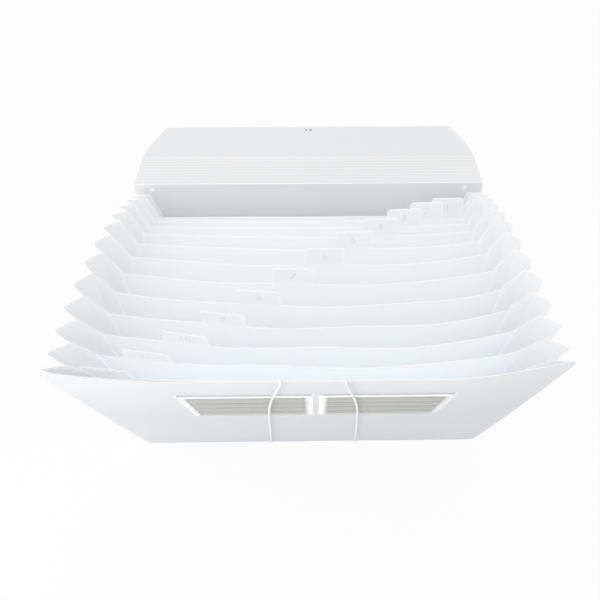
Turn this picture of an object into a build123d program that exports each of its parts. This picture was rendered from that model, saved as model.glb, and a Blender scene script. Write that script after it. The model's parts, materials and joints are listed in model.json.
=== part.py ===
from build123d import *
import math
import os

os.makedirs("parts", exist_ok=True)

# An expanding file folder of frosted film, fanned open, standing on its base strip.
# X runs along the strip, the front panel leans towards -Y, the back panel and its flap towards +Y.
# The origin is the middle of the strip's underside.

# Cover: one scored sheet, parted here at its fold lines
cover_width = 330.0
cover_thickness = 0.8
front_height = 236.0
back_height = 240.0
base_depth = 33.0
panel_corner_radius = 9.0
crease_clearance = 0.08

# Fan: leaf 0 is the back panel, the last leaf is the front panel, the dividers are between them
pocket_count = 13
fan_angle = 52.0
fan_gather = 2.3  # degrees by which the leaves a quarter of the way in lean on towards the nearer panel

# Dividers, each on a weld seam along the base
divider_width = 288.0
divider_height = 212.0
divider_thickness = 0.4
divider_corner_radius = 4.0
seat_clearance = 0.2
weld_depth = 1.6
weld_thickness = 0.4

# Index tabs, stepping from the right at the back to the left at the front
tab_width = 30.0
tab_height = 16.0
tab_corner_radius = 3.0
label_margin = 1.5
label_thickness = 0.15

# Side pleats: two leaves folded outwards beside each pocket
pleat_leaf = 20.5
pleat_thickness = 0.25
pleat_clearance = 0.15
pleat_lap = 1.0
pleat_foot = 2.0
pleat_drop = 4.0

# Flap: a scored band and a tapering tongue
flap_bend = 52.0
band_length = 38.0
score_count = 8
score_width = 0.6
score_depth = 0.25
tongue_length = 51.0
tongue_tip_width = 296.0
tongue_side_bulge = 2.0
tongue_corner_radius = 2.5

# Closure knob on the tongue's outer face, held by two rivets
knob_rivet_inset = 6.0
knob_rivet_spacing = 4.5
knob_rivet_diameter = 1.8
knob_rivet_head_diameter = 3.0
knob_rivet_head_height = 0.5
rivet_clearance = 0.15
knob_plate_width = 10.0
knob_plate_length = 22.0
knob_plate_thickness = 1.0
knob_plate_edge = 4.0
knob_plate_corner_radius = 3.0
knob_offset = 11.0
knob_stem_diameter = 5.0
knob_stem_height = 3.0
knob_cap_diameter = 11.0
knob_cap_height = 2.0
knob_cap_rounding = 0.8

# Rivets that hold the rear pleats' upper corners to the back panel
corner_rivet_diameter = 3.0
corner_rivet_head_diameter = 5.0
corner_rivet_head_height = 0.7
corner_rivet_side_inset = 17.0
corner_rivet_top_inset = 5.0

# Card pockets welded to the front panel, open at the top
card_pocket_width = 90.5
card_pocket_height = 66.0
card_pocket_gap = 4.0
card_pocket_drop = 32.0
card_pocket_shift = 4.0  # the pair's middle, right of the panel's
card_pocket_rim = 2.2
card_pocket_film = 0.3
card_thickness = 0.4
card_clearance = 0.15
card_side_play = 0.6
card_top_drop = 1.0

# Elastic loop: both ends knotted behind the front panel's foot, its bight tucked over the top edge
elastic_diameter = 1.8
elastic_clearance = 0.15
elastic_hole_height = 5.0
elastic_bight_drop = 21.0
elastic_exit_share = 0.63
elastic_tangent_share = 0.45
elastic_edge_share = 0.49
elastic_bight_share = 0.97
barb_diameter = 1.6
barb_length = 9.0

# The loop's run up one side of the front panel: across from the loop's middle, down from the top edge.
# Its middle lies right of the panel's by the shift.
elastic_shift = 2.0
elastic_foot_across = 42.5
elastic_run = [(35.0, 112.0), (30.5, 52.0)]
elastic_top_across = 19.5

# Heights and insets that several pieces share
fold_inset = cover_thickness / 2 + crease_clearance
fold_height = cover_thickness / 2
seat_height = cover_thickness + weld_thickness + seat_clearance
leaf_pitch = base_depth / pocket_count
front_top = fold_inset + front_height
back_top = fold_inset + back_height
cover_face = cover_thickness / 2
divider_face = divider_thickness / 2
card_pocket_depth = card_thickness + 2 * card_clearance
card_pocket_face = cover_face + card_pocket_depth
card_pocket_side = card_pocket_gap / 2 + card_pocket_width / 2
sides = {"left": -1, "right": 1}


def leaf_lean(index):
    """A leaf's angle towards the front: even steps, less a sine that gathers the leaves to the panels."""
    turn = 2 * math.pi * index / pocket_count
    return index * fan_angle / pocket_count - fan_angle / 2 - fan_gather * math.sin(turn)


def leaf_place(index):
    """Stand a leaf on its fold line: positive angles lean it towards the front."""
    fold = fold_height if index in (0, pocket_count) else seat_height
    return Pos(0, base_depth / 2 - index * leaf_pitch, fold) * Rot(leaf_lean(index), 0, 0)


front_place = leaf_place(pocket_count)
back_place = leaf_place(0)
flap_place = back_place * Pos(0, 0, back_top + fold_inset) * Rot(-flap_bend, 0, 0)
tongue_place = flap_place * Pos(0, 0, band_length + 2 * fold_inset)


def layer(outline, inner, outer):
    """An upright sheet between two distances in front of its middle plane."""
    return extrude(Plane.XZ.offset(inner) * outline, amount=outer - inner)


def sheet(outline, thickness):
    return layer(outline, -thickness / 2, thickness / 2)


def standing_rectangle(width, height, foot=0.0):
    return Pos(0, foot) * Rectangle(width, height, align=(Align.CENTER, Align.MIN))


def round_top(outline, radius):
    return fillet(outline.vertices().group_by(Axis.Y)[-1], radius)


def pair_of_circles(across, up, diameter):
    return [Pos(side * across, up) * Circle(diameter / 2) for side in sides.values()]


def save(name, place, pieces):
    placed = [place * piece for piece in pieces]
    shape = placed[0] if len(placed) == 1 else Compound(children=placed)
    shape.label = name
    export_step(shape, f"parts/{name}.step")


def base_strip():
    depth = base_depth - 2 * fold_inset
    return Box(cover_width, depth, cover_thickness, align=(Align.CENTER, Align.CENTER, Align.MIN))


def divider_welds():
    seam = Box(divider_width, weld_depth, weld_thickness, align=(Align.CENTER, Align.CENTER, Align.MIN))
    rows = [base_depth / 2 - index * leaf_pitch for index in range(1, pocket_count)]
    return [Pos(0, row, cover_thickness) * seam for row in rows]


def front_panel():
    outline = round_top(standing_rectangle(cover_width, front_height, fold_inset), panel_corner_radius)
    hole_diameter = elastic_diameter + 2 * elastic_clearance
    for hole in pair_of_circles(elastic_foot_across, fold_inset + elastic_hole_height, hole_diameter):
        outline -= Pos(elastic_shift, 0) * hole
    return sheet(outline, cover_thickness)


corner_rivet_across = cover_width / 2 - corner_rivet_side_inset
corner_rivet_up = back_top - corner_rivet_top_inset


def back_panel():
    outline = standing_rectangle(cover_width, back_height, fold_inset)
    for hole in pair_of_circles(corner_rivet_across, corner_rivet_up, corner_rivet_diameter + 2 * rivet_clearance):
        outline -= hole
    return sheet(outline, cover_thickness)


def corner_rivets():
    shanks = pair_of_circles(corner_rivet_across, corner_rivet_up, corner_rivet_diameter)
    heads = pair_of_circles(corner_rivet_across, corner_rivet_up, corner_rivet_head_diameter)
    outer = cover_face + corner_rivet_head_height
    return [
        layer(shank, -cover_face, cover_face) + layer(head, cover_face, outer) + layer(head, -outer, -cover_face)
        for shank, head in zip(shanks, heads)
    ]


def tab_across(index):
    step = (divider_width - tab_width) / (pocket_count - 2)
    return (divider_width - tab_width) / 2 - (index - 1) * step


def divider(index):
    body = round_top(standing_rectangle(divider_width, divider_height), divider_corner_radius)
    tab = standing_rectangle(tab_width, tab_height + divider_corner_radius, divider_height - divider_corner_radius)
    return sheet(body + Pos(tab_across(index), 0) * round_top(tab, tab_corner_radius), divider_thickness)


def index_label(index):
    up = divider_height + tab_height / 2
    outline = RectangleRounded(tab_width - 2 * label_margin, tab_height - 2 * label_margin, label_margin)
    return layer(Pos(tab_across(index), up) * outline, divider_face, divider_face + label_thickness)


def pleat_section(side, lean, half_angle, up):
    """A pleat's folded section, square to its pocket's middle plane."""
    spread = leaf_pitch / 2 * math.cos(math.radians(lean)) + up * math.tan(math.radians(half_angle))
    half = spread - divider_face - pleat_clearance
    reach = math.sqrt(pleat_leaf**2 - half**2)
    inner = half - pleat_thickness * pleat_leaf / reach
    root = divider_width / 2 - pleat_lap
    tip = root + reach
    fold = root + reach * inner / half
    corners = [(root, half), (tip, 0), (root, -half), (root, -inner), (fold, 0), (root, inner)]
    return make_face(Polyline([(side * x, y, up) for x, y in corners], close=True))


def side_pleats(pocket):
    lean = (leaf_lean(pocket) + leaf_lean(pocket - 1)) / 2
    half_angle = (leaf_lean(pocket) - leaf_lean(pocket - 1)) / 2
    place = Pos(0, base_depth / 2 - (pocket - 1 / 2) * leaf_pitch, seat_height) * Rot(lean, 0, 0)
    top = front_height - pleat_drop
    pleats = [
        loft([pleat_section(side, lean, half_angle, up) for up in (pleat_foot, top)], ruled=True)
        for side in sides.values()
    ]
    return place, pleats


def flap_band():
    band = sheet(standing_rectangle(cover_width, band_length, fold_inset), cover_thickness)
    for row in range(1, score_count + 1):
        up = fold_inset + row * band_length / (score_count + 1) - score_width / 2
        band -= layer(standing_rectangle(cover_width, score_width, up), cover_face - score_depth, cover_face)
    return band


knob_rivet_up = fold_inset + tongue_length - knob_rivet_inset
knob_plate_face = cover_face + knob_plate_thickness


def knob_rivet_circles(diameter):
    return pair_of_circles(knob_rivet_spacing / 2, knob_rivet_up, diameter)


def flap_tongue():
    foot = fold_inset
    tip = fold_inset + tongue_length
    middle = (foot + tip) / 2
    wide = cover_width / 2
    narrow = tongue_tip_width / 2
    bulge = (wide + narrow) / 2 + tongue_side_bulge
    outline = make_face(
        [
            Line((-wide, foot), (wide, foot)),
            ThreePointArc((wide, foot), (bulge, middle), (narrow, tip)),
            Line((narrow, tip), (-narrow, tip)),
            ThreePointArc((-narrow, tip), (-bulge, middle), (-wide, foot)),
        ]
    )
    outline = round_top(outline, tongue_corner_radius)
    for hole in knob_rivet_circles(knob_rivet_diameter + 2 * rivet_clearance):
        outline -= hole
    return sheet(outline, cover_thickness)


def closure_knob():
    plate_up = knob_rivet_up + knob_plate_edge - knob_plate_length / 2
    plate = Pos(0, plate_up) * RectangleRounded(knob_plate_width, knob_plate_length, knob_plate_corner_radius)
    for hole in knob_rivet_circles(knob_rivet_diameter + 2 * rivet_clearance):
        plate -= hole
    centre = Pos(0, knob_rivet_up - knob_offset)
    stem_face = knob_plate_face + knob_stem_height
    stem = layer(centre * Circle(knob_stem_diameter / 2), -stem_face, -knob_plate_face)
    cap = layer(centre * Circle(knob_cap_diameter / 2), -stem_face - knob_cap_height, -stem_face)
    cap = fillet(cap.edges().filter_by(GeomType.CIRCLE), knob_cap_rounding)
    return layer(plate, -knob_plate_face, -cover_face) + stem + cap


def knob_rivets():
    shanks = knob_rivet_circles(knob_rivet_diameter)
    heads = knob_rivet_circles(knob_rivet_head_diameter)
    height = knob_rivet_head_height
    return [
        layer(shank, -knob_plate_face, cover_face)
        + layer(head, cover_face, cover_face + height)
        + layer(head, -knob_plate_face - height, -knob_plate_face)
        for shank, head in zip(shanks, heads)
    ]


card_pocket_foot = front_top - card_pocket_drop - card_pocket_height
card_room = card_pocket_width - 2 * card_pocket_rim


def card_place(side):
    return Pos(card_pocket_shift + side * card_pocket_side, 0, 0)


def card_pocket(side):
    outline = standing_rectangle(card_pocket_width, card_pocket_height, card_pocket_foot)
    rim = outline - standing_rectangle(card_room, card_pocket_height, card_pocket_foot + card_pocket_rim)
    film = layer(outline, card_pocket_face, card_pocket_face + card_pocket_film)
    return card_place(side) * (layer(rim, cover_face, card_pocket_face) + film)


def card(side):
    foot = card_pocket_foot + card_pocket_rim + card_clearance
    height = card_pocket_height - card_pocket_rim - card_clearance - card_top_drop
    outline = standing_rectangle(card_room - 2 * card_side_play, height, foot)
    near = cover_face + card_clearance
    return card_place(side) * layer(outline, near, near + card_thickness)


def elastic_loop():
    radius = elastic_diameter / 2
    outside = card_pocket_face + card_pocket_film + elastic_clearance + radius
    inside = cover_face + elastic_clearance + radius
    edge_radius = elastic_edge_share * (outside + inside)
    over = front_top + edge_radius
    hole = fold_inset + elastic_hole_height
    half = [Vector(elastic_foot_across, cover_face, hole), Vector(elastic_foot_across, -outside, hole)]
    half += [Vector(across, -outside, front_top - down) for across, down in elastic_run]
    half += [Vector(elastic_top_across, -outside, over), Vector(elastic_top_across, inside, over)]
    half += [Vector(elastic_top_across, inside, front_top - elastic_bight_drop)]
    route = half + [Vector(-point.X, point.Y, point.Z) for point in reversed(half)]
    radii = [elastic_exit_share * (outside + cover_face)]
    for before, at, after in zip(half[1:], half[2:-3], half[3:]):
        turn = (at - before).get_angle(after - at)
        shorter = min((at - before).length, (after - at).length)
        radii.append(elastic_tangent_share * shorter / math.tan(math.radians(turn / 2)))
    radii += [edge_radius, edge_radius, elastic_bight_share * elastic_top_across]
    radii += reversed(radii)
    path = FilletPolyline(*route, radius=radii)
    cord = Pos(elastic_shift, 0, 0) * sweep(Plane(origin=path @ 0, z_dir=path % 0) * Circle(radius), path=path)
    print("elastic length", round(path.length, 1), "radii", [round(r, 1) for r in radii])
    print("elastic volume over section times length", cord.volume / (math.pi * radius**2 * path.length))
    return cord


def elastic_barbs():
    behind = cover_face + elastic_clearance + barb_diameter / 2
    hole = fold_inset + elastic_hole_height
    barb = Rot(0, 90, 0) * Cylinder(barb_diameter / 2, barb_length)
    return [Pos(elastic_shift + side * elastic_foot_across, behind, hole) * barb for side in sides.values()]


ground = Pos(0, 0, 0)
save("base_strip", ground, [base_strip()])
save("divider_welds", ground, divider_welds())
save("front_panel", front_place, [front_panel()])
save("back_panel", back_place, [back_panel()])
save("corner_rivets", back_place, corner_rivets())
save("flap_band", flap_place, [flap_band()])
save("flap_tongue", tongue_place, [flap_tongue()])
save("closure_knob", tongue_place, [closure_knob()])
save("knob_rivets", tongue_place, knob_rivets())
for index in range(1, pocket_count):
    save(f"divider_{index:02d}", leaf_place(index), [divider(index)])
    save(f"index_label_{index:02d}", leaf_place(index), [index_label(index)])
for pocket in range(1, pocket_count + 1):
    save(f"side_pleats_{pocket:02d}", *side_pleats(pocket))
for name, side in sides.items():
    save(f"{name}_card_pocket", front_place, [card_pocket(side)])
    save(f"{name}_card", front_place, [card(side)])
save("elastic_loop", front_place, [elastic_loop()])
save("elastic_barbs", front_place, elastic_barbs())
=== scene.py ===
# Expanding file of frosted film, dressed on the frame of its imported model. Metres throughout.
import json
import bpy
import numpy as np
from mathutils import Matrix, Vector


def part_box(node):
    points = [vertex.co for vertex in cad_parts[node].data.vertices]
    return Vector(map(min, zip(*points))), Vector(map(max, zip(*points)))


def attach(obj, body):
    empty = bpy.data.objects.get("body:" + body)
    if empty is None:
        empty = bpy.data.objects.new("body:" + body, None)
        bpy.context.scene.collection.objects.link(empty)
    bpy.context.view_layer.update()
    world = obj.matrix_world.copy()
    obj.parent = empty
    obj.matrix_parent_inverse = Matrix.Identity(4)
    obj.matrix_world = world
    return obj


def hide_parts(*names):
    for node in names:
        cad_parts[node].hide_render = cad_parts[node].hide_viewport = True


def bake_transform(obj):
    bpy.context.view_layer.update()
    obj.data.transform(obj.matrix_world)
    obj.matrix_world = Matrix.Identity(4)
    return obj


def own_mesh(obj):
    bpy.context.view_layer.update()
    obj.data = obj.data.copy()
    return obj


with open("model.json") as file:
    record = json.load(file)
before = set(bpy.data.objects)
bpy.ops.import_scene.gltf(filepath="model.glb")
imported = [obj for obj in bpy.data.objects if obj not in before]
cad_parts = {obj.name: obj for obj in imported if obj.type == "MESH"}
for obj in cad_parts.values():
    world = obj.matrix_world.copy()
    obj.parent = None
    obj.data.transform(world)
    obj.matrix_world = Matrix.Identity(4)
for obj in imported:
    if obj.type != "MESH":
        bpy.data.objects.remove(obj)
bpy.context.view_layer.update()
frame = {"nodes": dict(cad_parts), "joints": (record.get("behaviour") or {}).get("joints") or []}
scene = bpy.context.scene
scene.view_settings.view_transform = "Standard"
# light crosses and wanders between many leaves of the fan
for bounces, count in {"max": 96, "diffuse": 96, "transparent_max": 32}.items():
    setattr(scene.cycles, f"{bounces}_bounces", count)
joints = {joint["name"]: joint for joint in frame["joints"]}
print("frame loaded:", len(frame["nodes"]), "nodes")

# Camera: in front of the folder and above it, looking down into the pockets
photoView = {
    "place": (0.00113, -0.31748, 0.44554),
    "downDegrees": 41.78,
    "turnDegrees": 0.77,
    "lens": 30.44,
    "sensor": 36.0,
    "near": 0.01,
    "shift": (-0.0271, 0.0213),
}
cameraData = bpy.data.cameras.new("photoCamera")
cameraData.lens = photoView["lens"]
cameraData.sensor_width = photoView["sensor"]
cameraData.shift_x, cameraData.shift_y = photoView["shift"]
cameraData.clip_start = photoView["near"]
camera = bpy.data.objects.new("photoCamera", cameraData)
camera.location = photoView["place"]
camera.rotation_euler = np.radians([90 - photoView["downDegrees"], 0, -photoView["turnDegrees"]])
scene.collection.objects.link(camera)
scene.camera = camera
print("camera set")


# Leaves of the fan. A leaf is its fold line, the way up it and the way out of its front face.
acrossWay = np.array([1.0, 0.0, 0.0])


def leafAt(fold, leanDegrees):
    # leaning forward is positive: up turns from +Z towards -Y, and front from -Y towards -Z
    lean = np.radians(leanDegrees)
    up = np.array([0.0, -np.sin(lean), np.cos(lean)])
    front = np.array([0.0, -np.cos(lean), -np.sin(lean)])
    return np.array(fold, float), up, front


def fanLeaf(jointName):
    # each leaf shuts upright at the end of its fold's range, so that end is its lean
    joint = joints[jointName]
    return leafAt(joint["pos_m"], -joint["axis"][0] * joint["range_deg"][1])


def onLeaf(leaf, across, up, front):
    # a point is the fold line's middle plus the three distances along the leaf's own ways
    fold, upWay, frontWay = leaf
    across, up, front = np.broadcast_arrays(across, up, front)
    return fold + across[..., None] * acrossWay + up[..., None] * upWay + front[..., None] * frontWay


folder = {"pockets": 13, "flapDegrees": 52.0, "coverThickness": 0.0008, "foldInset": 0.00048}
frontLeaf = fanLeaf("front_panel_fold")
backLeaf = fanLeaf("back_panel_fold")
dividerNumbers = range(1, folder["pockets"])
dividerLeaves = {number: fanLeaf(f"divider_{number:02d}_fold") for number in dividerNumbers}
fanLeaves = [backLeaf, *dividerLeaves.values(), frontLeaf]
flapLean = -joints["back_panel_fold"]["range_deg"][1] - folder["flapDegrees"]
bandLeaf = leafAt(joints["flap_fold"]["pos_m"], flapLean)
tongueLeaf = leafAt(joints["tongue_fold"]["pos_m"], flapLean)
halfCover = np.ptp([corner[0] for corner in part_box("base_strip")]) / 2


# Meshes from whole arrays
sharpAngle = np.radians(40)
cornerSteps = 9  # columns round a quarter circle
columnDigits = 7  # columns closer together than a tenth of a micrometre are one
hair = 1e-6  # play for comparing lengths


def makePiece(name, points, faceGroups, material, masks=None, uv=None):
    # each face group is an array of vertex numbers and whether it is shaded smooth
    faces = [row for group, smooth in faceGroups for row in group.tolist()]
    mesh = bpy.data.meshes.new(name)
    mesh.from_pydata(points.reshape(-1, 3).tolist(), [], faces)
    smooth = np.concatenate([np.full(len(group), flag) for group, flag in faceGroups])
    mesh.polygons.foreach_set("use_smooth", smooth)
    for maskName, values in (masks or {}).items():
        layer = mesh.attributes.new(maskName, "FLOAT", "POINT")
        layer.data.foreach_set("value", values.astype(np.float32).ravel())
    if uv is not None:
        corners = np.zeros(len(mesh.loops), np.int32)
        mesh.loops.foreach_get("vertex_index", corners)
        mesh.uv_layers.new(name="UVMap").data.foreach_set("uv", uv.reshape(-1, 2)[corners].ravel())
    mesh.materials.append(material)
    mesh.set_sharp_from_angle(angle=sharpAngle)
    mesh.update()
    piece = bpy.data.objects.new(name, mesh)
    scene.collection.objects.link(piece)
    return piece


def gridFaces(rows, columns):
    cell = (np.arange(rows - 1)[:, None] * columns + np.arange(columns - 1)).ravel()
    return np.stack([cell, cell + 1, cell + columns + 1, cell + columns], 1)


def closedSheet(name, middle, thickness, material, masks=None, uv=None):
    # a sheet is its middle surface moved half a thickness each way along its normals, with its rim closed
    rows, columns = middle.shape[:2]
    normal = np.cross(np.gradient(middle, axis=1), np.gradient(middle, axis=0))
    normal /= np.linalg.norm(normal, axis=-1, keepdims=True)
    offset = normal * thickness / 2
    points = np.concatenate([middle + offset, middle - offset])
    size = rows * columns
    frontFaces = gridFaces(rows, columns)
    index = np.arange(size).reshape(rows, columns)
    ring = np.concatenate([index[0], index[1:, -1], index[-1, -2::-1], index[-2:0:-1, 0]])
    following = np.roll(ring, -1)
    rimFaces = np.stack([ring, ring + size, following + size, following], 1)
    groups = [(frontFaces, True), (frontFaces[:, ::-1] + size, True), (rimFaces, False)]
    doubled = {key: np.concatenate([value, value]) for key, value in (masks or {}).items()}
    doubled["behind"] = np.repeat([0.0, 1.0], size)
    doubledUv = None if uv is None else np.concatenate([uv, uv])
    return makePiece(name, points, groups, material, doubled, doubledUv)


def tubeFaces(rings, sides):
    # quads between following rings of points, and one cap on each end
    start = (np.arange(rings - 1)[:, None] * sides + np.arange(sides)).ravel()
    after = (np.arange(rings - 1)[:, None] * sides + (np.arange(sides) + 1) % sides).ravel()
    wall = np.stack([start, after, after + sides, start + sides], 1)
    caps = np.stack([np.arange(sides)[::-1], np.arange(sides) + (rings - 1) * sides])
    return wall, caps


def evenSteps(start, stop, step):
    return np.linspace(start, stop, max(2, round(abs(stop - start) / step) + 1))


def distinct(parts):
    return np.unique(np.round(np.concatenate(parts), columnDigits))


def roundedTop(across, halfWidth, top, radius):
    # a top edge that falls away as a quarter circle at both ends
    over = np.clip(np.abs(across) - (halfWidth - radius), 0, radius)
    return top - radius + np.sqrt(radius**2 - over**2)


def roundedColumns(halfWidth, radius, step, rim):
    # columns across a sheet, closer together round its corners and one rim in from its sides
    arc = halfWidth - radius + radius * np.sin(np.linspace(0, np.pi / 2, cornerSteps))
    inner = evenSteps(-(halfWidth - radius), halfWidth - radius, step)
    return distinct([-arc, inner, arc, [rim - halfWidth, halfWidth - rim]])


def risingRows(foot, top, step, rim):
    # rows share out the height of each column, and the last two lie in the rim along the top edge
    shares = evenSteps(0, 1, step / (np.max(top) - foot))[:, None]
    main = foot + shares * (top - rim - foot)
    return np.concatenate([main, [top - rim / 2, top]])


def dress(piece, body, replaced=(), squash=None):
    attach(piece, body)
    if replaced:
        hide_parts(*replaced)
    if squash:
        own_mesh(piece)


# Materials
def linked(tree, kind, settings=None, **inputs):
    # a node whose inputs are values or other nodes' outputs. An input goes by its socket's name, with _
    # for a space, or by the socket's number after an n.
    node = tree.nodes.new(kind)
    for key, value in (settings or {}).items():
        setattr(node, key, value)
    for key, value in inputs.items():
        byNumber = key[0] == "n" and key[1:].isdigit()
        socket = node.inputs[int(key[1:]) if byNumber else key.replace("_", " ")]
        if isinstance(value, bpy.types.NodeSocket):
            tree.links.new(value, socket)
        else:
            socket.default_value = value
    return node


def mathNode(tree, operation, first, second=0.0, third=0.0):
    settings = {"operation": operation}
    return linked(tree, "ShaderNodeMath", settings, n0=first, n1=second, n2=third).outputs[0]


def scaled(tree, vector, factor):
    settings = {"operation": "MULTIPLY"}
    return linked(tree, "ShaderNodeVectorMath", settings, n0=vector, n1=factor).outputs[0]


def attribute(tree, name):
    return linked(tree, "ShaderNodeAttribute", {"attribute_name": name}).outputs["Fac"]


def colourMix(tree, factor, first, second):
    settings = {"data_type": "RGBA"}
    return linked(tree, "ShaderNodeMix", settings, n0=factor, n6=first, n7=second).outputs[2]


def valueMix(tree, factor, first, second):
    return linked(tree, "ShaderNodeMix", None, n0=factor, n2=first, n3=second).outputs[0]


def newGroup(name, inputs, outputs):
    tree = bpy.data.node_groups.new(name, "ShaderNodeTree")
    for socketName, kind in inputs:
        tree.interface.new_socket(socketName, in_out="INPUT", socket_type=kind)
    for socketName, kind in outputs:
        tree.interface.new_socket(socketName, in_out="OUTPUT", socket_type=kind)
    return tree, tree.nodes.new("NodeGroupInput").outputs, tree.nodes.new("NodeGroupOutput").inputs


floatSocket, colourSocket = "NodeSocketFloat", "NodeSocketColor"
filmHem = {"width": 0.06, "white": 0.3}
filmNoise = {"cloudScale": 17.0, "cloudDetail": 3.0, "cloudRoughness": 0.45, "grainDetail": 2.0}


def filmFinishGroup():
    # cloudy matt film: large soft clouds in its tint and cover, fine grain, white where it is cut, welded
    # or creased and also where light is painted on, and a faint painted glow that is stronger where it is
    # white
    colours = ["Tint", "Back Tint", "White"]
    values = ["Cover", "White Cover", "Roughness", "Cloud", "Grain Scale", "Glow", "Edge Glow"]
    tree, given, made = newGroup(
        "filmFinish",
        [*((name, colourSocket) for name in colours), *((name, floatSocket) for name in values)],
        [
            ("Color", colourSocket), ("Alpha", floatSocket), ("Roughness", floatSocket),
            ("Height", floatSocket), ("Emission", colourSocket),
        ],
    )
    place = linked(tree, "ShaderNodeTexCoord").outputs["Object"]
    clouds = linked(
        tree, "ShaderNodeTexNoise", Vector=place, Scale=filmNoise["cloudScale"],
        Detail=filmNoise["cloudDetail"], Roughness=filmNoise["cloudRoughness"],
    ).outputs[0]
    grain = linked(
        tree, "ShaderNodeTexNoise", Vector=place, Scale=given["Grain Scale"],
        Detail=filmNoise["grainDetail"],
    ).outputs[0]
    # the hem's attribute is 1 on the hem's line, and 0 all over a sheet without one
    line = mathNode(tree, "COMPARE", attribute(tree, "hem"), 1.0, filmHem["width"])
    hem = mathNode(tree, "MULTIPLY", line, filmHem["white"])
    white = mathNode(tree, "MAXIMUM", attribute(tree, "white"), hem)
    drift = mathNode(tree, "MULTIPLY", mathNode(tree, "SUBTRACT", clouds, 0.5), given["Cloud"])
    clouded = mathNode(tree, "ADD", drift, 1.0)
    tint = colourMix(tree, attribute(tree, "behind"), given["Tint"], given["Back Tint"])
    coloured = colourMix(tree, white, scaled(tree, tint, clouded), given["White"])
    tree.links.new(coloured, made["Color"])
    # painted light: the film glows faintly, more where it is white
    glow = valueMix(tree, white, given["Glow"], given["Edge Glow"])
    tree.links.new(scaled(tree, coloured, glow), made["Emission"])
    cover = mathNode(tree, "MULTIPLY", given["Cover"], clouded)
    tree.links.new(valueMix(tree, white, cover, given["White Cover"]), made["Alpha"])
    tree.links.new(mathNode(tree, "ADD", given["Roughness"], drift), made["Roughness"])
    tree.links.new(grain, made["Height"])
    return tree


filmFinish = filmFinishGroup()


def newMaterial(name):
    material = bpy.data.materials.new(name)
    material.use_nodes = True
    tree = material.node_tree
    return material, tree, tree.nodes["Principled BSDF"]


def filmMaterial(name, look):
    material, tree, shader = newMaterial(name)
    group = linked(
        tree, "ShaderNodeGroup", {"node_tree": filmFinish}, Tint=(*look["tint"], 1),
        Back_Tint=(*look.get("backTint", look["tint"]), 1), White=(*look["white"], 1),
        Cover=look["cover"], White_Cover=look["whiteCover"], Roughness=look["roughness"],
        Cloud=look["cloud"], Grain_Scale=look["grainScale"], Glow=look["glow"], Edge_Glow=look["edgeGlow"],
    )
    grain = group.outputs["Height"]
    bump = linked(tree, "ShaderNodeBump", Height=grain, Strength=look["grain"], Distance=look["grainDepth"])
    # the faint glow is painted light: it stands in for light that has wandered inside the film and leaves
    # it, most of all at its edges
    outputs = {"Color": "Base Color", "Roughness": "Roughness", "Emission": "Emission Color"}
    if look["cover"] < 1:
        outputs["Alpha"] = "Alpha"
    for output, socket in outputs.items():
        tree.links.new(group.outputs[output], shader.inputs[socket])
    tree.links.new(bump.outputs[0], shader.inputs["Normal"])
    shader.inputs["IOR"].default_value = look["ior"]
    shader.inputs["Emission Strength"].default_value = 1.0
    material.cycles.emission_sampling = "NONE"
    return material


# the glow values are painted light: the films glow faintly, most of all where they are white
filmBase = {
    "white": (0.99, 0.99, 0.99), "cover": 1.0, "whiteCover": 1.0, "roughness": 0.42, "cloud": 0.015,
    "grain": 0.12, "grainScale": 1400.0, "grainDepth": 0.0002, "ior": 1.4, "glow": 0.0, "edgeGlow": 0.06,
}
# painted light and shade: the cover is one film, yet each panel gets its own tint, darkest on the front
# panel's outside, then on the back panel and the flap, palest on the base and the front panel's inside
filmLooks = {
    "shadedCoverFilm": {"tint": (0.70, 0.72, 0.75), "backTint": (0.985, 0.99, 0.993)},
    "shadedBackFilm": {"tint": (0.785, 0.80, 0.815)},
    "baseFilm": {"tint": (0.985, 0.99, 0.993)},
    "shadedFlapFilm": {"tint": (0.865, 0.87, 0.88)},
    "dividerFilm": {
        "tint": (0.955, 0.963, 0.968), "roughness": 0.45, "grain": 0.1, "glow": 0.036, "edgeGlow": 0.1,
    },
    "pleatFilm": {"tint": (0.965, 0.968, 0.975), "roughness": 0.45, "grain": 0.1, "glow": 0.012},
    "clearFilm": {
        "tint": (0.93, 0.935, 0.94), "cover": 0.08, "whiteCover": 0.92, "roughness": 0.16, "cloud": 0.1,
        "ior": 1.5,
    },
}
films = {name: filmMaterial(name, {**filmBase, **look}) for name, look in filmLooks.items()}


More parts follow.
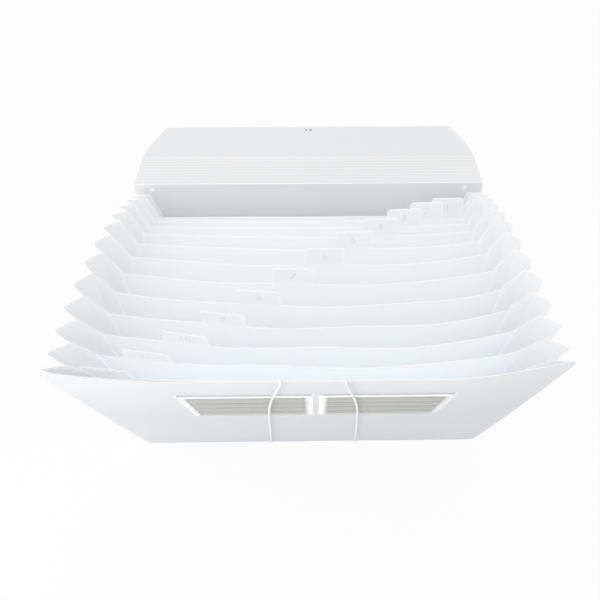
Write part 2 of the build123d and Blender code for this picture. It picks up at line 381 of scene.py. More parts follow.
def cardMaterial():
    # grey card with fine ruled lines across it: dark and pale bars by the height on the card's own map
    look = {
        "ground": (0.46, 0.465, 0.43, 1), "fibre": (0.52, 0.525, 0.49, 1), "rule": (0.37, 0.375, 0.345, 1),
        "pale": (0.56, 0.565, 0.53, 1), "border": (0.93, 0.93, 0.93, 1), "pitch": 0.014, "ruleShare": 0.22,
        "paleMiddle": 0.4, "paleHalf": 0.12, "fibreScale": 2600.0, "fibreDetail": 4.0, "bump": 0.2,
        "bumpDepth": 0.0001, "roughness": 0.7,
    }
    material, tree, shader = newMaterial("greyCard")
    place = linked(tree, "ShaderNodeUVMap").outputs[0]
    height = linked(tree, "ShaderNodeSeparateXYZ", Vector=place).outputs["Y"]
    phase = mathNode(tree, "FRACT", mathNode(tree, "DIVIDE", height, look["pitch"]))
    rule = mathNode(tree, "LESS_THAN", phase, look["ruleShare"])
    pale = mathNode(tree, "COMPARE", phase, look["paleMiddle"], look["paleHalf"])
    fibres = linked(
        tree, "ShaderNodeTexNoise", Vector=place, Scale=look["fibreScale"], Detail=look["fibreDetail"]
    ).outputs[0]
    ground = colourMix(tree, fibres, look["ground"], look["fibre"])
    ruled = colourMix(tree, rule, colourMix(tree, pale, ground, look["pale"]), look["rule"])
    coloured = colourMix(tree, attribute(tree, "border"), ruled, look["border"])
    tree.links.new(coloured, shader.inputs["Base Color"])
    bump = linked(tree, "ShaderNodeBump", Height=fibres, Strength=look["bump"], Distance=look["bumpDepth"])
    tree.links.new(bump.outputs[0], shader.inputs["Normal"])
    shader.inputs["Roughness"].default_value = look["roughness"]
    return material


fineGrain = {"detail": 4.0, "bump": 0.15, "bumpDepth": 0.0001}


def grainedMaterial(name, first, second, scale, roughness, metallic=0.0):
    # two close tones mixed by fine noise, which also roughens and dents the surface
    material, tree, shader = newMaterial(name)
    place = linked(tree, "ShaderNodeTexCoord").outputs["Object"]
    noise = linked(
        tree, "ShaderNodeTexNoise", Vector=place, Scale=scale, Detail=fineGrain["detail"]
    ).outputs[0]
    tree.links.new(colourMix(tree, noise, (*first, 1), (*second, 1)), shader.inputs["Base Color"])
    low, high = roughness
    tree.links.new(valueMix(tree, noise, low, high), shader.inputs["Roughness"])
    bump = linked(
        tree, "ShaderNodeBump", Height=noise, Strength=fineGrain["bump"], Distance=fineGrain["bumpDepth"]
    )
    tree.links.new(bump.outputs[0], shader.inputs["Normal"])
    shader.inputs["Metallic"].default_value = metallic
    return material


braid = {
    "strands": 4, "pitch": 0.0028, "low": (0.86, 0.865, 0.87, 1), "high": (0.95, 0.95, 0.955, 1),
    "bump": 0.4, "bumpDepth": 0.0001, "roughness": 0.75,
}


def braidMaterial():
    # woven elastic: two families of slanting ribs on the cord's own map, round it and along it, with
    # painted shade darkening the grooves between the ribs
    material, tree, shader = newMaterial("elasticBraid")
    place = linked(tree, "ShaderNodeUVMap").outputs[0]
    split = linked(tree, "ShaderNodeSeparateXYZ", Vector=place)
    around = mathNode(tree, "MULTIPLY", split.outputs["X"], braid["strands"] * 2 * np.pi)
    along = mathNode(tree, "MULTIPLY", split.outputs["Y"], 2 * np.pi / braid["pitch"])
    one = mathNode(tree, "SINE", mathNode(tree, "ADD", around, along))
    other = mathNode(tree, "SINE", mathNode(tree, "SUBTRACT", around, along))
    weave = mathNode(tree, "MULTIPLY_ADD", mathNode(tree, "MAXIMUM", one, other), 0.5, 0.5)
    tree.links.new(colourMix(tree, weave, braid["low"], braid["high"]), shader.inputs["Base Color"])
    bump = linked(tree, "ShaderNodeBump", Height=weave, Strength=braid["bump"], Distance=braid["bumpDepth"])
    tree.links.new(bump.outputs[0], shader.inputs["Normal"])
    shader.inputs["Roughness"].default_value = braid["roughness"]
    return material


greyCard = cardMaterial()
labelPaper = grainedMaterial("labelPaper", (0.945, 0.96, 0.97), (0.965, 0.975, 0.98), 900.0, (0.55, 0.7))
printInk = grainedMaterial("printInk", (0.79, 0.81, 0.83), (0.85, 0.865, 0.88), 2400.0, (0.5, 0.7))
elasticBraid = braidMaterial()
metal = {"scale": 1800.0, "roughness": (0.28, 0.42), "metallic": 0.9}
darkMetal = grainedMaterial("darkMetal", (0.06, 0.06, 0.065), (0.10, 0.10, 0.105), **metal)
dullMetal = grainedMaterial("dullMetal", (0.38, 0.38, 0.39), (0.48, 0.48, 0.49), **metal)
whitePlastic = grainedMaterial("whitePlastic", (0.94, 0.94, 0.95), (0.98, 0.98, 0.98), 1200.0, (0.3, 0.42))
print("materials made:", len(bpy.data.materials))

# Front panel: flat in the middle, with its upper corners curled back towards the pockets
frontPanel = {
    "height": 0.236, "cornerRadius": 0.009, "rim": 0.0009, "step": 0.006, "middleLean": 0.0012,
    "leftCurl": 0.0075, "rightCurl": 0.0118, "curlFrom": (0.0975, 0.2045), "curlSlant": 3.0,
    "curlPower": 1.35, "rimWhite": 0.55, "paintedLightFrom": 0.6, "paintedLight": 0.34, "keep": 0.08,
}
frontTop = folder["foldInset"] + frontPanel["height"]


def panelCurl(across, up):
    # how far the panel lies behind its plane: a slight lean of the whole panel, and each upper corner bent
    # back about a slanting line, by a power of the way past it. The line passes the card pockets' outer
    # upper corners.
    lineAcross, lineUp = frontPanel["curlFrom"]
    slant = frontPanel["curlSlant"]
    past = np.clip(up - lineUp + slant * (np.abs(across) - lineAcross), 0, None)
    past = past / (frontTop - lineUp + slant * (halfCover - lineAcross))
    reach = np.where(across < 0, frontPanel["leftCurl"], frontPanel["rightCurl"])
    return frontPanel["middleLean"] * up / frontTop + reach * past ** frontPanel["curlPower"]


def frontSurface(across, up, out):
    return onLeaf(frontLeaf, across, up, out - panelCurl(across, up))


def edgeMask(rim, *distances):
    # 1 at an edge, 0 one rim in from it
    return 1 - np.clip(np.minimum.reduce(np.broadcast_arrays(*distances)) / rim, 0, 1)


frontSquash = {"axis": frontLeaf[2], "anchor": frontLeaf[0], "keep": frontPanel["keep"]}
columns = roundedColumns(halfCover, frontPanel["cornerRadius"], frontPanel["step"], frontPanel["rim"])
topLine = roundedTop(columns, halfCover, frontTop, frontPanel["cornerRadius"])
rows = risingRows(folder["foldInset"], topLine, frontPanel["step"], frontPanel["rim"])
white = frontPanel["rimWhite"] * edgeMask(frontPanel["rim"], topLine - rows, halfCover - np.abs(columns))
# painted light: the panel is painted whiter towards its top, where little stands behind it
upward = np.clip((rows / frontTop - frontPanel["paintedLightFrom"]) / (1 - frontPanel["paintedLightFrom"]), 0, 1)
white = np.maximum(white, frontPanel["paintedLight"] * upward)
surface = frontSurface(columns[None, :], rows, 0.0)
piece = closedSheet("frontPanel", surface, folder["coverThickness"], films["shadedCoverFilm"], {"white": white})
dress(piece, "front_panel", ["front_panel"], frontSquash)

# Back panel: flat, from the base's rear crease to the flap's crease
backPanel = {"height": 0.240, "rim": 0.0009, "step": 0.008}
columns = roundedColumns(halfCover, backPanel["rim"], backPanel["step"], backPanel["rim"])
rows = evenSteps(folder["foldInset"], folder["foldInset"] + backPanel["height"], backPanel["step"])[:, None]
white = edgeMask(backPanel["rim"], halfCover - np.abs(columns))
white = np.broadcast_to(white, (len(rows), len(columns)))
surface = onLeaf(backLeaf, columns[None, :], rows, 0.0)
piece = closedSheet("backPanel", surface, folder["coverThickness"], films["shadedBackFilm"], {"white": white})
dress(piece, "back_panel", ["back_panel"])

# Flap band: eight score lines run across it, pressed into its inner face
flapBand = {
    "length": 0.038, "scores": 8, "scoreDepth": 0.00022, "scoreWidth": 0.00045, "scoreReach": 3,
    "scoreRows": 13, "scoreWhite": 0.75, "rim": 0.0009, "step": 0.012,
}
bandFoot = folder["foldInset"]
scoreUps = bandFoot + np.arange(1, flapBand["scores"] + 1) * flapBand["length"] / (flapBand["scores"] + 1)
nearScore = np.linspace(-flapBand["scoreReach"], flapBand["scoreReach"], flapBand["scoreRows"])
nearScore = scoreUps[:, None] + nearScore * flapBand["scoreWidth"]
rows = np.unique(np.concatenate([nearScore.ravel(), [bandFoot, bandFoot + flapBand["length"]]]))
columns = roundedColumns(halfCover, flapBand["rim"], flapBand["step"], flapBand["rim"])
# a score's depth is a bell curve of the way from its line
scored = np.exp(-(((rows[:, None] - scoreUps) / flapBand["scoreWidth"]) ** 2)).sum(1)[:, None]
white = np.maximum(flapBand["scoreWhite"] * scored, edgeMask(flapBand["rim"], halfCover - np.abs(columns)))
surface = onLeaf(bandLeaf, columns[None, :], rows[:, None], -flapBand["scoreDepth"] * scored)
piece = closedSheet("flapBand", surface, folder["coverThickness"], films["shadedFlapFilm"], {"white": white})
dress(piece, "flap_band", ["flap_band"])

# Flap tongue: its sides taper along a shallow arc to rounded corners at the tip
flapTongue = {
    "length": 0.051, "tipHalf": 0.148, "bulge": 0.002, "cornerRadius": 0.0025, "cornerRows": 11,
    "rim": 0.0009, "step": 0.003, "columns": 64,
}
tongueTip = folder["foldInset"] + flapTongue["length"]
cornerTurn = np.linspace(0, np.pi / 2, flapTongue["cornerRows"])
corner = tongueTip - flapTongue["cornerRadius"] * (1 - np.sin(cornerTurn))
rows = np.concatenate([evenSteps(folder["foldInset"], corner[0], flapTongue["step"])[:-1], corner])
share = (rows - folder["foldInset"]) / flapTongue["length"]
# each side is a straight taper plus a parabola that is one bulge high halfway
taper = (flapTongue["tipHalf"] - halfCover) * share
side = halfCover + taper + 4 * flapTongue["bulge"] * share * (1 - share)
intoCorner = np.clip(rows - corner[0], 0, flapTongue["cornerRadius"])
halfWidth = side - flapTongue["cornerRadius"] + np.sqrt(flapTongue["cornerRadius"] ** 2 - intoCorner**2)
rimShare = flapTongue["rim"] / halfCover
columns = np.concatenate([[-1], np.linspace(-1 + rimShare, 1 - rimShare, flapTongue["columns"]), [1]])
across = halfWidth[:, None] * columns
white = edgeMask(flapTongue["rim"], halfWidth[:, None] - np.abs(across), (tongueTip - rows)[:, None])
surface = onLeaf(tongueLeaf, across, rows[:, None], 0.0)
piece = closedSheet("flapTongue", surface, folder["coverThickness"], films["shadedFlapFilm"], {"white": white})
dress(piece, "flap_tongue", ["flap_tongue"])

# Creases: the cover is one sheet on the real folder, so a thin web spans each fold, curved round it
crease = {"thickness": 0.0003, "overlap": 0.00006, "bends": 9, "step": 0.012}


def makeCrease(name, material, fold, ways):
    # the web's line is a quadratic curve from one sheet's edge to the other's, with the fold as its corner
    reach = folder["foldInset"] + crease["overlap"]
    first, second = np.array(ways, float) * reach
    turn = np.linspace(0, 1, crease["bends"])[:, None]
    line = np.array(fold, float) + (1 - turn) ** 2 * first + turn**2 * second
    columns = evenSteps(-halfCover, halfCover, crease["step"])
    surface = line[:, None] + columns[None, :, None] * acrossWay
    white = np.ones(surface.shape[:2])
    piece = closedSheet(name, surface, crease["thickness"], films[material], {"white": white})
    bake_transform(piece)


baseWay = np.array([0.0, 1.0, 0.0])
makeCrease(
    "frontCrease", "shadedCoverFilm", frontLeaf[0], (baseWay, frontLeaf[1])
)
makeCrease(
    "backCrease", "shadedBackFilm", backLeaf[0], (-baseWay, backLeaf[1])
)
makeCrease(
    "flapCrease", "shadedFlapFilm", bandLeaf[0],
    (-backLeaf[1], bandLeaf[1]),
)
makeCrease(
    "tongueCrease", "shadedFlapFilm", tongueLeaf[0],
    (-bandLeaf[1], tongueLeaf[1]),
)

# Rivets: a domed head on each side of the sheets that a rivet holds
cornerRivet = {
    "across": halfCover - 0.017, "up": folder["foldInset"] + backPanel["height"] - 0.005, "head": 0.0025,
    "dome": 0.0007, "shank": 0.0015, "front": 0.0004, "rear": -0.0004,
}
knobRivet = {
    "across": 0.00225, "up": tongueTip - 0.006, "head": 0.0015, "dome": 0.0005, "shank": 0.0009,
    "front": 0.0004, "rear": -0.0014,
}
rivetMesh = {"sides": 32, "domeRings": 7, "domeStart": 0.12}  # a dome starts at that angle from its axis


def makeRivets(name, leaf, rivet, material, body, replaced):
    # a profile turned about the rivet's axis: a quarter ellipse down to the head's rim, in to the shank and
    # back out
    sweep = np.linspace(rivetMesh["domeStart"], np.pi / 2, rivetMesh["domeRings"])
    domeRadius, domeRise = rivet["head"] * np.sin(sweep), rivet["dome"] * np.cos(sweep)
    front, rear = rivet["front"], rivet["rear"]
    radius = np.concatenate([domeRadius, [rivet["shank"]] * 2, domeRadius[::-1]])
    rise = np.concatenate([front + domeRise, [front, rear], rear - domeRise[::-1]])
    turn = np.arange(rivetMesh["sides"]) * 2 * np.pi / rivetMesh["sides"]
    wall, caps = tubeFaces(len(radius), len(turn))
    # the profile runs from the front to the rear, so the faces are turned over
    wall, caps = np.roll(wall[:, ::-1], 1, axis=1), caps[:, ::-1]
    across, up = radius[:, None] * np.cos(turn), rivet["up"] + radius[:, None] * np.sin(turn)
    both = [onLeaf(leaf, side * rivet["across"] + across, up, rise[:, None]) for side in (-1, 1)]
    count = len(radius) * len(turn)
    groups = [(np.concatenate([wall, wall + count]), True), (np.concatenate([caps, caps + count]), True)]
    dress(makePiece(name, np.stack(both), groups, material), body, [replaced])


makeRivets(
    "cornerRivets", backLeaf, cornerRivet, whitePlastic, "back_panel", "corner_rivets"
)
makeRivets("knobRivets", tongueLeaf, knobRivet, dullMetal, "flap_tongue", "knob_rivets")
print("cover panels, flap, creases and rivets made")

# Dividers: thin sheets held at their sides, whose middles sag forwards, each with one index tab
divider = {
    "half": 0.144, "height": 0.212, "thickness": 0.0004, "cornerRadius": 0.004, "rim": 0.0009,
    "step": 0.006, "tabWidth": 0.030, "tabHeight": 0.016, "tabRadius": 0.003, "tabSlant": 0.0003,
    "tabSteps": 7, "sag": 0.0145, "sagMiddle": 7.3, "sagSpan": 6.8, "sagPower": 2.6, "risePower": 1.7,
    "heldHalf": 0.141, "skew": 0.15, "ripple": 0.0010, "rippleTurns": 2.3, "rippleShift": 1.7,
    "lowering": 0.55, "hemDrop": 0.0055, "hemStep": 0.01, "keep": 0.06, "paintedLight": 0.2, "paintedLightFrom": 9,
    "tabFade": 0.75, "rimFade": 0.4,
}


def tabAcross(number):
    span = 2 * divider["half"] - divider["tabWidth"]
    return span / 2 - (number - 1) * span / (folder["pockets"] - 2)


def dividerSag(number, across, up):
    # the deepest sag is past the middle of the fan. Across a sheet it is 1 minus a power of the way to its
    # held side, and up the sheet it grows as a power of the height. A slow ripple makes each sheet its own.
    depth = divider["sag"] * (1 - ((number - divider["sagMiddle"]) / divider["sagSpan"]) ** 2)
    way = np.clip(across / divider["heldHalf"], -1, 1)
    skewed = way - divider["skew"] * (1 - way**2)
    rise = up / divider["height"]
    phase = divider["rippleTurns"] * np.pi * way + divider["rippleShift"] * number
    ripple = divider["ripple"] * np.sin(phase) * (1 - way**2)
    return (depth * (1 - np.abs(skewed) ** divider["sagPower"]) + ripple) * rise ** divider["risePower"]


def dividerSurface(number, across, up, out):
    # a sagging sheet keeps its length, so what it gains forwards lowers it by a share of its sag squared
    sag = dividerSag(number, across, up)
    lowered = divider["lowering"] * sag**2 / divider["height"]
    return onLeaf(dividerLeaves[number], across, up - lowered, out + sag)


def dividerSquash(number):
    return {"axis": dividerLeaves[number][2], "anchor": dividerLeaves[number][0], "keep": divider["keep"]}


def makeDivider(number):
    middle, halfTab = tabAcross(number), divider["tabWidth"] / 2
    tabTurn = np.linspace(0, np.pi / 2, divider["tabSteps"])
    arc = halfTab - divider["tabRadius"] + divider["tabRadius"] * np.sin(tabTurn)
    beside = halfTab + divider["tabSlant"]
    tabColumns = middle + np.concatenate([-arc, arc, [-beside, beside]])
    sheetColumns = roundedColumns(divider["half"], divider["cornerRadius"], divider["step"], divider["rim"])
    columns = distinct([sheetColumns, tabColumns])
    columns = columns[np.abs(columns) <= divider["half"] + hair]
    top = roundedTop(columns, divider["half"], divider["height"], divider["cornerRadius"])
    tabTop = divider["height"] + divider["tabHeight"]
    onTab = np.abs(columns - middle) <= halfTab + hair
    top = np.where(onTab, roundedTop(columns - middle, halfTab, tabTop, divider["tabRadius"]), top)
    rows = risingRows(0.0, top, divider["step"], divider["rim"])
    white = edgeMask(divider["rim"], top - rows, divider["half"] - np.abs(columns))
    # the white of a rim fades towards the front of the fan, round a tab more than elsewhere
    forward = (number - 1) / (folder["pockets"] - 2)
    white = white * (1 - forward * np.where(onTab, divider["tabFade"], divider["rimFade"]))
    # painted light: light comes in through the front panel, so the sheets nearer to it are painted whiter
    near = (number - divider["paintedLightFrom"]) / (dividerNumbers[-1] - divider["paintedLightFrom"])
    white = np.maximum(white, divider["paintedLight"] * np.clip(near, 0, 1))
    hem = 1 + (rows - divider["height"] + divider["hemDrop"]) / divider["hemStep"]  # 1 on the hem's line
    masks = {"white": white, "hem": hem}
    surface = dividerSurface(number, columns[None, :], rows, 0.0)
    name = f"divider_{number:02d}"
    piece = closedSheet(f"{name}_sheet", surface, divider["thickness"], films["dividerFilm"], masks)
    dress(piece, name, [name], dividerSquash(number))


# Index labels: a slip of paper on the front of each tab, with a plain number printed on it
indexLabel = {
    "margin": 0.0015, "radius": 0.0015, "rim": 0.000375, "thickness": 0.00015, "step": 0.003,
    "ink": 0.00004, "inkLift": 0.00002, "digit": 0.0085,
}


def makeIndexLabel(number):
    half = divider["tabWidth"] / 2 - indexLabel["margin"]
    foot = divider["height"] + indexLabel["margin"]
    top = divider["height"] + divider["tabHeight"] - indexLabel["margin"]
    columns = roundedColumns(half, indexLabel["radius"], indexLabel["step"], indexLabel["rim"])
    topLine = roundedTop(columns, half, top, indexLabel["radius"])
    rows = risingRows(foot, topLine, indexLabel["step"], indexLabel["rim"])
    out = (divider["thickness"] + indexLabel["thickness"]) / 2
    surface = dividerSurface(number, tabAcross(number) + columns[None, :], rows, out)
    body = f"divider_{number:02d}"
    label = closedSheet(f"index_label_{number:02d}_slip", surface, indexLabel["thickness"], labelPaper)
    dress(label, body, [f"index_label_{number:02d}"], dividerSquash(number))

    letters = bpy.data.curves.new(f"number_{number:02d}", "FONT")
    letters.body = str(number)
    letters.size = indexLabel["digit"]
    letters.extrude = indexLabel["ink"]
    letters.align_x, letters.align_y = "CENTER", "CENTER"
    holder = bpy.data.objects.new(letters.name, letters)
    mesh = bpy.data.meshes.new_from_object(holder)
    flat = np.zeros(len(mesh.vertices) * 3)
    mesh.vertices.foreach_get("co", flat)
    across, up, out = flat.reshape(-1, 3).T
    face = divider["thickness"] / 2 + indexLabel["thickness"] + indexLabel["inkLift"]
    placed = dividerSurface(number, tabAcross(number) + across, (foot + top) / 2 + up, face + out)
    mesh.vertices.foreach_set("co", placed.ravel())
    mesh.materials.append(printInk)
    mesh.update()
    bpy.data.objects.remove(holder)
    printed = bpy.data.objects.new(f"index_number_{number:02d}", mesh)
    scene.collection.objects.link(printed)
    dress(printed, body, squash=dividerSquash(number))


for number in dividerNumbers:
    makeDivider(number)
    makeIndexLabel(number)
print("dividers and labels made:", len(dividerNumbers))

# Side pleats: beside each pocket two leaves fold outwards to a crease, with flanges on the sheets they join
pleat = {
    "leaf": 0.0140, "root": 0.151, "flange": 0.0105, "flangeFall": 1.7, "foot": 0.002, "top": 0.232,
    "gap": 0.00035, "thickness": 0.00025, "crease": 0.05, "creaseWidth": 0.05, "creaseWhite": 0.8,
    "creaseBand": 0.08, "leafFrom": 0.12, "leafColumns": 9, "flangeColumns": 5, "bulge": 0.0007,
    "rim": 0.0009, "step": 0.010, "shutShare": 0.95,
}


def leafDrift(leafNumber, across, up):
    # how far the sheet of that number lies in front of its plane
    if leafNumber == folder["pockets"]:
        return -panelCurl(across, up)
    return dividerSag(leafNumber, across, up) if leafNumber else np.zeros(np.broadcast(across, up).shape)


def pleatRoots(pocket, across, up):
    # where the two sheets beside a pocket lie at that place, with a small gap to each of them
    rear = onLeaf(fanLeaves[pocket - 1], 0.0, up, pleat["gap"] + leafDrift(pocket - 1, across, up))
    front = onLeaf(fanLeaves[pocket], 0.0, up, leafDrift(pocket, across, up) - pleat["gap"])
    return rear, front


def pleatSurface(pocket, side, fold, inward, up):
    # fold runs from -1 at the rear root through 0 at the outer crease to 1 at the front root. The roots
    # part with the height as the two sheets do, and the leaf's length sets how far out the crease lies.
    # Flanges follow the sheets.
    rear, front = pleatRoots(pocket, side * (pleat["root"] - inward), up)
    halfGap = np.linalg.norm(front - rear, axis=-1) / 2
    reach = np.sqrt(pleat["leaf"] ** 2 - halfGap**2)
    blunt = pleat["crease"]
    softened = (np.sqrt(fold**2 + blunt**2) - blunt) / (np.sqrt(1 + blunt**2) - blunt)
    bulge = pleat["bulge"] * np.sin(np.pi * np.abs(fold)) * up / pleat["top"]
    out = side * (pleat["root"] - inward + reach * (1 - softened) + bulge)
    rear, front = pleatRoots(pocket, out, up)  # a curled sheet lies elsewhere further out
    mix = (1 + fold)[..., None] / 2
    return rear * (1 - mix) + front * mix + out[..., None] * acrossWay


def makePleat(pocket):
    outer = np.linspace(pleat["leafFrom"], 1, pleat["leafColumns"])
    band = np.linspace(-pleat["creaseBand"], pleat["creaseBand"], pleat["leafColumns"])
    leaves = np.concatenate([-outer[::-1], band, outer])
    flange = np.linspace(pleat["flange"], 0, pleat["flangeColumns"], endpoint=False)
    fold = np.concatenate([[-1] * len(flange), leaves, [1] * len(flange)])
    inward = np.concatenate([flange, 0 * leaves, flange[::-1]])
    topLine = pleat["top"] - pleat["flangeFall"] * inward  # a flange's top falls to the sheet's top edge
    up = risingRows(pleat["foot"], topLine, pleat["step"], pleat["rim"])
    fold, inward = np.broadcast_to(fold, up.shape), np.broadcast_to(inward, up.shape)
    creased = np.exp(-((fold / pleat["creaseWidth"]) ** 2))  # a bell curve about the crease
    edges = edgeMask(pleat["rim"], topLine - up, pleat["flange"] - inward)
    white = np.maximum(pleat["creaseWhite"] * creased, edges)
    behind = "back_panel" if pocket == 1 else f"divider_{pocket - 1:02d}"
    leaf = fanLeaves[pocket - 1]
    pitch = abs(fanLeaves[pocket][0][1] - leaf[0][1])
    for name, side in (("left", -1), ("right", 1)):
        surface = pleatSurface(pocket, side, fold, inward, up)
        piece = closedSheet(
            f"{name}_pleat_{pocket:02d}", surface, pleat["thickness"], films["pleatFilm"], {"white": white}
        )
        # shut, the pleat's full depth has to fit between the two sheets' folds
        depth = ((surface - leaf[0]) @ leaf[2]).max()
        squash = {"axis": leaf[2], "anchor": leaf[0], "keep": pleat["shutShare"] * pitch / depth}
        dress(piece, behind, [f"side_pleats_{pocket:02d}"], squash)


for pocket in range(1, folder["pockets"] + 1):
    makePleat(pocket)
print("pleats made:", folder["pockets"])

# Card pockets: clear film welded to the front panel along three sides, open at the top, and a card in each
cardPocket = {
    "width": 0.0905, "height": 0.066, "gap": 0.004, "drop": 0.032, "shift": 0.004, "weld": 0.0022,
    "weldWhite": 1.01, "film": 0.0003, "face": 0.00125, "step": 0.004, "cardThickness": 0.0004,
    "cardOut": 0.00045, "sidePlay": 0.0006, "footPlay": 0.00015, "topDrop": 0.001, "sideBorder": 0.002,
    "footBorder": 0.003, "topBorder": 0.005, "borderEdge": 0.0002,
}
pocketFoot = frontTop - cardPocket["drop"] - cardPocket["height"]
pocketSide = (cardPocket["gap"] + cardPocket["width"]) / 2


def withEdges(start, stop, step, inset):
    # even steps between two edges of one inset each, and a line halfway through each edge
    inner = evenSteps(start + inset, stop - inset, step)
    return np.concatenate([[start, start + inset / 2], inner, [stop - inset / 2, stop]])


def pocketSurface(side, across, ups, out):
    return frontSurface(side * pocketSide + cardPocket["shift"] + across, pocketFoot + ups, out)


def makeCardPocket(name, side):
    weld, half = cardPocket["weld"], cardPocket["width"] / 2
    columns = withEdges(-half, half, cardPocket["step"], weld)
    ups = withEdges(0, cardPocket["height"], cardPocket["step"], weld)[:, None]
    fromSide = np.broadcast_to(half - np.abs(columns), (len(ups), len(columns)))
    welded = np.minimum(fromSide, np.broadcast_to(ups, fromSide.shape)) / weld
    hemmed = (cardPocket["height"] - ups) / weld
    white = (np.minimum(welded, hemmed) < cardPocket["weldWhite"]).astype(float)  # with the inner line
    lifted = np.clip(welded - 0.5, 0, 0.5) * 2  # the film drops to the panel in the weld's outer half
    low = (folder["coverThickness"] + cardPocket["film"]) / 2
    out = low + (cardPocket["face"] + cardPocket["film"] / 2 - low) * lifted
    surface = pocketSurface(side, columns[None, :], ups, out)
    masks = {"white": white}
    piece = closedSheet(f"{name}_pocket_film", surface, cardPocket["film"], films["clearFilm"], masks)
    dress(piece, "front_panel", [f"{name}_card_pocket"], frontSquash)


def bordered(start, stop, first, last):
    # grid lines on each side of the two border lines, with even steps between them
    edge = cardPocket["borderEdge"]
    inner = evenSteps(start + first + edge, stop - last - edge, cardPocket["step"])
    return np.concatenate([[start, start + first - edge], inner, [stop - last + edge, stop]])


def makeCard(name, side):
    half = cardPocket["width"] / 2 - cardPocket["weld"] - cardPocket["sidePlay"]
    foot, top = cardPocket["weld"] + cardPocket["footPlay"], cardPocket["height"] - cardPocket["topDrop"]
    columns = bordered(-half, half, cardPocket["sideBorder"], cardPocket["sideBorder"])
    ups = bordered(foot, top, cardPocket["footBorder"], cardPocket["topBorder"])[:, None]
    inside = (np.abs(columns) < half - cardPocket["sideBorder"]) & (ups > foot + cardPocket["footBorder"])
    border = 1.0 - (inside & (ups < top - cardPocket["topBorder"]))
    out = cardPocket["cardOut"] + cardPocket["cardThickness"] / 2
    surface = pocketSurface(side, columns[None, :], ups, out)
    uv = np.stack(np.broadcast_arrays(columns[None, :], ups), -1)
    masks = {"border": border}
    piece = closedSheet(f"{name}_ruled_card", surface, cardPocket["cardThickness"], greyCard, masks, uv)
    dress(piece, f"{name}_card", [f"{name}_card"], frontSquash)


for name, side in (("left", -1), ("right", 1)):
    makeCardPocket(name, side)
    makeCard(name, side)
print("card pockets and cards made")

# Elastic loop: up the front panel from one hole, over its top edge, round the bight inside, and back to the
# other hole
elastic = {
    "diameter": 0.0018, "length": 0.546, "shift": 0.002, "sides": 16, "ringStep": 0.0006, "swell": 0.05,
    "splineOrder": 3, "splineSteps": 24, "bightShare": 0.08, "bightBlend": 0.02,
    "half": [  # across, out of the panel, up it
        (0.0425, -0.0004, 0.00548), (0.0425, 0.00245, 0.00548), (0.0418, 0.00245, 0.0163),
        (0.0350, 0.00245, 0.12448), (0.0305, 0.00245, 0.18448), (0.0217, 0.00245, 0.2276),
        (0.0195, 0.00225, 0.23785), (0.0195, -0.00145, 0.23785), (0.0195, -0.00145, 0.2276),
        (0.0195, -0.00145, 0.21548),
    ],
}


def elasticLine():
    half = np.array(elastic["half"])
    route = np.concatenate([half, half[::-1] * [-1, 1, 1]])
    placed = frontSurface(route[:, 0] + elastic["shift"], route[:, 2], route[:, 1])
    curve = bpy.data.curves.new("elasticRoute", "CURVE")
    curve.dimensions = "3D"
    curve.resolution_u = elastic["splineSteps"]
    spline = curve.splines.new("NURBS")
    spline.points.add(len(placed) - 1)
    spline.points.foreach_set("co", np.column_stack([placed, np.ones(len(placed))]).ravel())
    spline.order_u = elastic["splineOrder"]
    spline.use_endpoint_u = True
    holder = bpy.data.objects.new("elasticRoute", curve)
    mesh = bpy.data.meshes.new_from_object(holder)
    line = np.zeros(len(mesh.vertices) * 3)
    mesh.vertices.foreach_get("co", line)
    bpy.data.objects.remove(holder)
    bpy.data.meshes.remove(mesh)
    return line.reshape(-1, 3)


def makeElastic():
    # a round section carried along the spline, evenly spaced, whose radius swells where the strands cross
    line = elasticLine()
    reached = np.concatenate([[0], np.cumsum(np.linalg.norm(np.diff(line, axis=0), axis=1))])
    along = evenSteps(0, reached[-1], elastic["ringStep"])
    path = np.stack([np.interp(along, reached, line[:, axis]) for axis in range(3)], 1)
    tangent = np.gradient(path, axis=0)
    tangent /= np.linalg.norm(tangent, axis=1, keepdims=True)
    # rings lie level with the panel's width along the strands, and with its face round the bight
    share = along / along[-1]
    inBight = np.clip((elastic["bightShare"] - np.abs(share - 0.5)) / elastic["bightBlend"], 0, 1)[:, None]
    hand = np.where(share < 0.5, 1.0, -1.0)[:, None]
    aside = inBight * np.cross(frontLeaf[2], tangent) + (1 - inBight) * hand * acrossWay
    aside -= (aside * tangent).sum(1, keepdims=True) * tangent
    aside /= np.linalg.norm(aside, axis=1, keepdims=True)
    across = np.cross(tangent, aside)
    turn = np.arange(elastic["sides"]) * 2 * np.pi / elastic["sides"]
    twist = 2 * np.pi * along[:, None] / braid["pitch"]
    strands = np.maximum(np.sin(braid["strands"] * turn + twist), np.sin(braid["strands"] * turn - twist))
    radius = elastic["diameter"] / 2 * (1 - elastic["swell"] * (1 - strands) / 2)
    rings = path[:, None] + radius[..., None] * (
        np.cos(turn)[:, None] * aside[:, None] + np.sin(turn)[:, None] * across[:, None]
    )
    wall, caps = tubeFaces(*rings.shape[:2])
    uv = np.stack(np.broadcast_arrays(turn / (2 * np.pi), along[:, None]), -1)
    piece = makePiece("elasticCord", rings, [(wall, True), (caps, False)], elasticBraid, uv=uv)
    dress(piece, "front_panel", ["elastic_loop"])


makeElastic()
print("elastic made")

# Solids that keep their own shape
keptNodes = {
    "base_strip": films["baseFilm"], "divider_welds": films["dividerFilm"], "elastic_barbs": darkMetal,
    "closure_knob": whitePlastic,
}
for nodeName, material in keptNodes.items():
    node = frame["nodes"][nodeName]
    node.data.materials.clear()
    node.data.materials.append(material)
print("kept solids finished:", len(keptNodes))

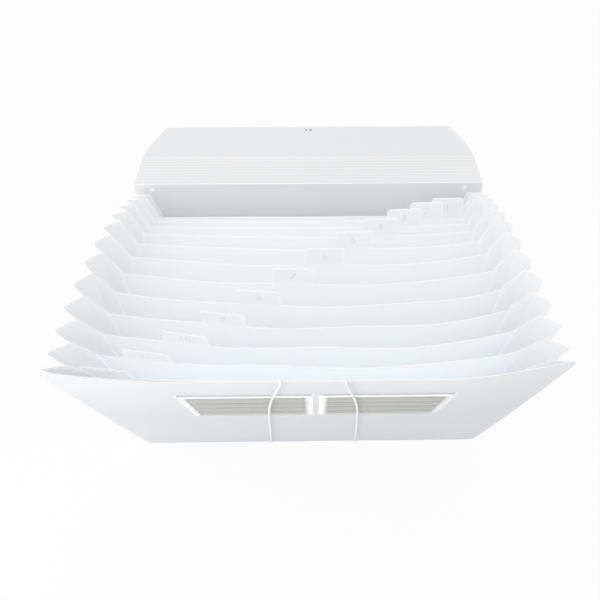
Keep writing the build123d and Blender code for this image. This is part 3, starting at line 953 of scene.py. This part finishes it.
# Floor and light: a white tent, and two soft lamps on the left
studio = {
    "floorSize": 16.0, "floorDrop": 0.0002, "floor": (0.93, 0.93, 0.93), "floorRoughness": 0.9,
    "floorGlow": 0.9, "tent": 0.915, "leftward": 0.05,
}


def seenRays(tree):
    # 1 for what the camera sees, straight or in reflections, and 0 for what lights the folder
    rays = linked(tree, "ShaderNodeLightPath").outputs
    seen = mathNode(tree, "MAXIMUM", rays["Is Camera Ray"], rays["Is Glossy Ray"])
    return mathNode(tree, "MAXIMUM", seen, rays["Is Transmission Ray"])


def makeFloor():
    half = studio["floorSize"] / 2
    corners = np.array([(-half, -half, 0), (half, -half, 0), (half, half, 0), (-half, half, 0)], float)
    material, tree, shader = newMaterial("paleFloor")
    shader.inputs["Base Color"].default_value = (*studio["floor"], 1)
    shader.inputs["Roughness"].default_value = studio["floorRoughness"]
    share = mathNode(tree, "MULTIPLY", seenRays(tree), studio["floorGlow"])
    glow = linked(tree, "ShaderNodeEmission", Color=(1, 1, 1, 1), Strength=1.0).outputs[0]
    mixed = linked(tree, "ShaderNodeMixShader", n0=share, n1=shader.outputs[0], n2=glow).outputs[0]
    tree.links.new(mixed, tree.nodes["Material Output"].inputs["Surface"])
    lowered = corners - [0, 0, studio["floorDrop"]]
    floor = makePiece("floor", lowered, [(np.array([[0, 1, 2, 3]]), False)], material)


def makeTent():
    world = bpy.data.worlds.new("whiteTent")
    scene.world = world
    world.use_nodes = True
    tree = world.node_tree
    background = tree.nodes["Background"]
    background.inputs["Color"].default_value = (1, 1, 1, 1)
    place = linked(tree, "ShaderNodeTexCoord").outputs["Generated"]
    rightward = linked(tree, "ShaderNodeSeparateXYZ", Vector=place).outputs["X"]
    lit = mathNode(tree, "MULTIPLY_ADD", rightward, -studio["leftward"], studio["tent"])
    tree.links.new(valueMix(tree, seenRays(tree), lit, 1.0), background.inputs["Strength"])


lamps = {
    "keyLamp": {"place": (-0.5, -0.15, 0.5), "aim": (0, 0.05, 0.15), "size": 0.4, "power": 0.18},
    "lowLamp": {"place": (-0.5, -0.42, 0.07), "aim": (-0.1, -0.1, 0.08), "size": 0.3, "power": 0.85},
}


def makeLamp(name, lamp):
    data = bpy.data.lights.new(name, "AREA")
    data.shape = "DISK"
    data.size = lamp["size"]
    data.energy = lamp["power"]
    holder = bpy.data.objects.new(name, data)
    holder.location = lamp["place"]
    way = np.array(lamp["aim"]) - np.array(lamp["place"])
    flat = np.hypot(way[0], way[1])
    holder.rotation_euler = (np.arctan2(flat, -way[2]), 0, np.arctan2(-way[0], way[1]))
    holder.visible_camera = False
    scene.collection.objects.link(holder)


makeFloor()
makeTent()
for name, lamp in lamps.items():
    makeLamp(name, lamp)
print("floor and light set")
